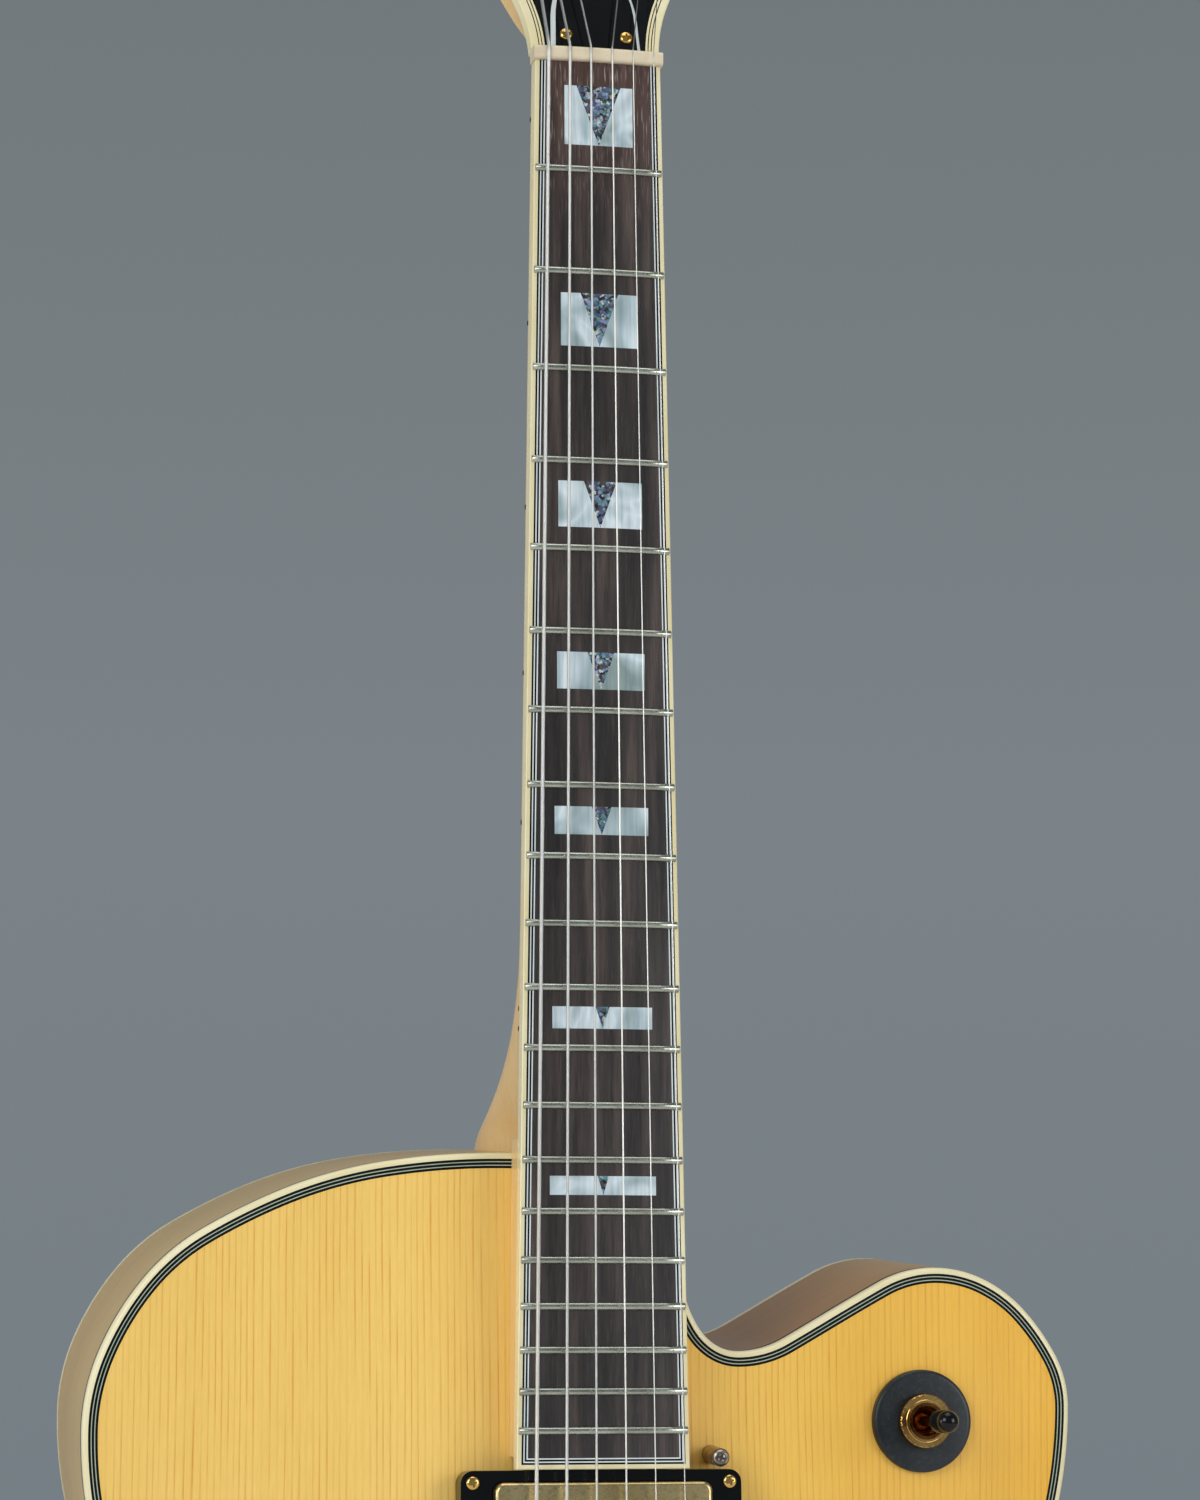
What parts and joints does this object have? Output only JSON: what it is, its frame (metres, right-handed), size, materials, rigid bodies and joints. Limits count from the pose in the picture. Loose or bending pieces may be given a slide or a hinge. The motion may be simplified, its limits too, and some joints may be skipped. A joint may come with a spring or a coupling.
{
  "type": "archtop electric guitar",
  "caption": "Archtop electric guitar with a rounded cutaway, bound f-holes, covered pickups, height-adjustable bridge and hinged trapeze tailpiece.",
  "frame": {"origin": "centre of the fingerboard's front face at the nut's board-side face", "axes": "+Z from the body towards the headstock in the plane of the rim, -Y out of the front, +X towards the treble side"},
  "size_m": [0.441, 0.146, 1.0883],
  "materials": {
    "spruce": "gloss lacquer",
    "maple": "gloss lacquer",
    "plain_wood": "bare",
    "cream": "gloss",
    "edge_plies": "gloss",
    "rosewood": "satin",
    "ebony": "satin",
    "fret_nickel": "worn",
    "pearl": "pearl",
    "abalone": "iridescent",
    "bone": "satin",
    "black_veneer": "gloss",
    "gold": "plated, worn",
    "steel": "satin",
    "string_steel": "bright",
    "black_plastic": "gloss",
    "slate_plastic": "satin"
  },
  "bodies": {
    "guitar": {"fingerboard": "rosewood", "fingerboard_binding": "cream", "fingerboard_purfling": "edge_plies", "frets": "fret_nickel", "pearl_inlays": "pearl", "abalone_inlays": "abalone", "truss_rod": "steel", "tuner_housings": "gold", "neck": "maple", "headstock_overlay": "black_veneer", "headstock_binding": "cream", "truss_rod_cover": "black_plastic", "strings": "string_steel", "nut": "bone", "bridge_studs": "gold", "bridge_base": "ebony", "pickup_rings": "black_plastic", "pickup_covers": "gold", "pickup_cores": "black_plastic", "pickup_pole_screws": "gold", "potentiometers": "steel", "switch_body": "gold", "switch_washer": "slate_plastic", "pickguard_standoff": "gold", "top_purfling": "edge_plies", "f_hole_binding": "cream", "top_plate": "spruce", "back_plate": "maple", "top_binding": "cream", "back_binding": "cream", "output_jack": "gold", "strap_buttons": "gold", "tailpiece_bracket": "gold", "bass_side": "maple", "treble_side": "maple", "end_blocks": "plain_wood", "linings": "plain_wood", "tone_bars": "plain_wood", "screws": "gold"},
    "saddle": {"bridge_saddle": "ebony"},
    "thumbwheel_bass": {"bridge_thumbwheel_bass": "gold"},
    "thumbwheel_treble": {"bridge_thumbwheel_treble": "gold"},
    "tailpiece": {"tailpiece": "gold"},
    "tuner_key_1": {"tuner_key_1": "gold"},
    "tuner_post_1": {"tuner_post_1": "gold"},
    "tuner_key_2": {"tuner_key_2": "gold"},
    "tuner_post_2": {"tuner_post_2": "gold"},
    "tuner_key_3": {"tuner_key_3": "gold"},
    "tuner_post_3": {"tuner_post_3": "gold"},
    "tuner_key_4": {"tuner_key_4": "gold"},
    "tuner_post_4": {"tuner_post_4": "gold"},
    "tuner_key_5": {"tuner_key_5": "gold"},
    "tuner_post_5": {"tuner_post_5": "gold"},
    "tuner_key_6": {"tuner_key_6": "gold"},
    "tuner_post_6": {"tuner_post_6": "gold"},
    "knob_neck_volume": {"knob_neck_volume": "black_plastic"},
    "knob_bridge_volume": {"knob_bridge_volume": "black_plastic"},
    "knob_neck_tone": {"knob_neck_tone": "black_plastic"},
    "knob_bridge_tone": {"knob_bridge_tone": "black_plastic"},
    "switch_lever": {"switch_lever": "gold"}
  },
  "joints": [
    {"name": "saddle_lift", "type": "slide", "parent": "guitar", "child": "saddle", "axis": [0, -1, 0], "range_m": [-0.001, 0.0025], "deforming": ["strings"]},
    {"name": "thumbwheel_bass_turn", "type": "hinge", "parent": "saddle", "child": "thumbwheel_bass", "pos_m": [-0.0375, -0.03861, -0.64777], "axis": [0, -1, 0], "range_deg": [-450, 1125]},
    {"name": "thumbwheel_treble_turn", "type": "hinge", "parent": "saddle", "child": "thumbwheel_treble", "pos_m": [0.0375, -0.03861, -0.64777], "axis": [0, -1, 0], "range_deg": [-450, 1125]},
    {"name": "tailpiece_swing", "type": "hinge", "parent": "guitar", "child": "tailpiece", "pos_m": [0, -0.01856, -0.88781], "axis": [1, 0, 0], "range_deg": [-0.2887, 0.6467]},
    {"name": "tuner_key_1_turn", "type": "hinge", "parent": "guitar", "child": "tuner_key_1", "pos_m": [-0.027, 0.03895, 0.04478], "axis": [-1, 0, 0], "continuous": true},
    {"name": "tuner_post_1_turn", "type": "hinge", "parent": "guitar", "child": "tuner_post_1", "pos_m": [-0.027, 0.02234, 0.05869], "axis": [0, -0.9511, 0.309], "continuous": true},
    {"name": "tuner_key_2_turn", "type": "hinge", "parent": "guitar", "child": "tuner_key_2", "pos_m": [-0.027, 0.051, 0.08187], "axis": [-1, 0, 0], "continuous": true},
    {"name": "tuner_post_2_turn", "type": "hinge", "parent": "guitar", "child": "tuner_post_2", "pos_m": [-0.027, 0.03439, 0.09578], "axis": [0, -0.9511, 0.309], "continuous": true},
    {"name": "tuner_key_3_turn", "type": "hinge", "parent": "guitar", "child": "tuner_key_3", "pos_m": [-0.027, 0.06305, 0.11896], "axis": [-1, 0, 0], "continuous": true},
    {"name": "tuner_post_3_turn", "type": "hinge", "parent": "guitar", "child": "tuner_post_3", "pos_m": [-0.027, 0.04644, 0.13287], "axis": [0, -0.9511, 0.309], "continuous": true},
    {"name": "tuner_key_4_turn", "type": "hinge", "parent": "guitar", "child": "tuner_key_4", "pos_m": [0.027, 0.06305, 0.11896], "axis": [1, 0, 0], "continuous": true},
    {"name": "tuner_post_4_turn", "type": "hinge", "parent": "guitar", "child": "tuner_post_4", "pos_m": [0.027, 0.04644, 0.13287], "axis": [0, -0.9511, 0.309], "continuous": true},
    {"name": "tuner_key_5_turn", "type": "hinge", "parent": "guitar", "child": "tuner_key_5", "pos_m": [0.027, 0.051, 0.08187], "axis": [1, 0, 0], "continuous": true},
    {"name": "tuner_post_5_turn", "type": "hinge", "parent": "guitar", "child": "tuner_post_5", "pos_m": [0.027, 0.03439, 0.09578], "axis": [0, -0.9511, 0.309], "continuous": true},
    {"name": "tuner_key_6_turn", "type": "hinge", "parent": "guitar", "child": "tuner_key_6", "pos_m": [0.027, 0.03895, 0.04478], "axis": [1, 0, 0], "continuous": true},
    {"name": "tuner_post_6_turn", "type": "hinge", "parent": "guitar", "child": "tuner_post_6", "pos_m": [0.027, 0.02234, 0.05869], "axis": [0, -0.9511, 0.309], "continuous": true},
    {"name": "knob_neck_volume_turn", "type": "hinge", "parent": "guitar", "child": "knob_neck_volume", "pos_m": [0.11025, -0.02093, -0.73546], "axis": [0.1029, -0.9947, -0.0037], "range_deg": [-150, 150]},
    {"name": "knob_bridge_volume_turn", "type": "hinge", "parent": "guitar", "child": "knob_bridge_volume", "pos_m": [0.0882, -0.01887, -0.78846], "axis": [0.0668, -0.9892, -0.1301], "range_deg": [-150, 150]},
    {"name": "knob_neck_tone_turn", "type": "hinge", "parent": "guitar", "child": "knob_neck_tone", "pos_m": [0.15876, -0.01504, -0.74606], "axis": [0.129, -0.9914, -0.0239], "range_deg": [-150, 150]},
    {"name": "knob_bridge_tone_turn", "type": "hinge", "parent": "guitar", "child": "knob_bridge_tone", "pos_m": [0.13671, -0.01307, -0.80436], "axis": [0.0815, -0.9906, -0.1098], "range_deg": [-150, 150]},
    {"name": "switch_lever_throw", "type": "hinge", "parent": "guitar", "child": "switch_lever", "pos_m": [0.1085, -0.01227, -0.44151], "axis": [0.9997, 0.0229, -0.0007], "range_deg": [-12, 12]}
  ],
  "couplings": [
    {"joint": "saddle_lift", "follows": "thumbwheel_bass_turn", "m_per_rad": 0.00012732},
    {"joint": "thumbwheel_treble_turn", "follows": "thumbwheel_bass_turn", "ratio": 1},
    {"joint": "tailpiece_swing", "follows": "thumbwheel_bass_turn", "ratio": 0.00053043},
    {"joint": "tuner_post_1_turn", "follows": "tuner_key_1_turn", "ratio": 0.071429},
    {"joint": "tuner_post_2_turn", "follows": "tuner_key_2_turn", "ratio": 0.071429},
    {"joint": "tuner_post_3_turn", "follows": "tuner_key_3_turn", "ratio": 0.071429},
    {"joint": "tuner_post_4_turn", "follows": "tuner_key_4_turn", "ratio": 0.071429},
    {"joint": "tuner_post_5_turn", "follows": "tuner_key_5_turn", "ratio": 0.071429},
    {"joint": "tuner_post_6_turn", "follows": "tuner_key_6_turn", "ratio": 0.071429}
  ]
}
